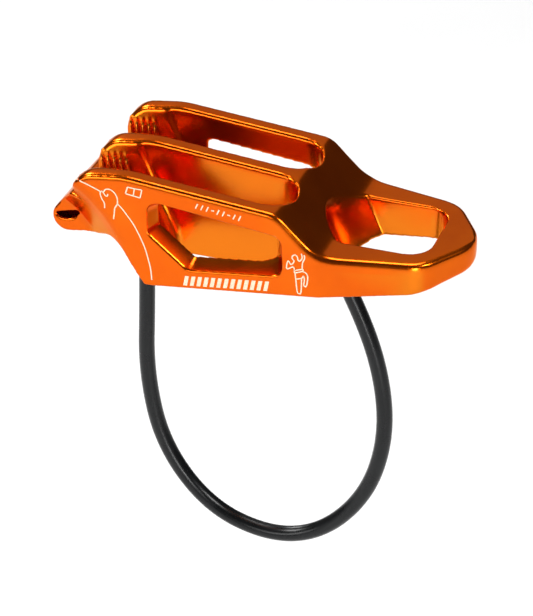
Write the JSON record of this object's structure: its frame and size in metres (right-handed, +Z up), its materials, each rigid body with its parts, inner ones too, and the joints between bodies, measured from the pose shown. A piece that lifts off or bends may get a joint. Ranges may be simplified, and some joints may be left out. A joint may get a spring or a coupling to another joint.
{
  "type": "belay device",
  "caption": "Forged orange belay device with rope slots, friction grooves, a nose, an anchor eyelet and a black keeper cable loop.",
  "frame": {"origin": "middle of the anchor eyelet, half way through its ring", "axes": "+X from the nose to the eyelet's end, +Y across the two rope slots, +Z up, away from the keeper cable"},
  "size_m": [0.0898, 0.036, 0.0964],
  "materials": {
    "anodised_aluminium": "glossy orange anodising over forged aluminium",
    "bare_aluminium": "crimped, satin",
    "black_plastic": "extruded, glossy",
    "steel_wire": "stranded steel"
  },
  "bodies": {
    "device": {"body": "anodised_aluminium", "front_crimp_sleeve": "bare_aluminium", "rear_crimp_sleeve": "bare_aluminium"},
    "keeper": {"keeper_sheath": "black_plastic", "keeper_wire": "steel_wire"}
  },
  "joints": [
    {"name": "keeper_swing", "type": "hinge", "parent": "device", "child": "keeper", "pos_m": [-0.0526, 0, -0.0096], "axis": [0.9936, 0, 0.1133], "range_deg": [-25, 25], "stiffness_Nm_per_rad": 0.05}
  ]
}
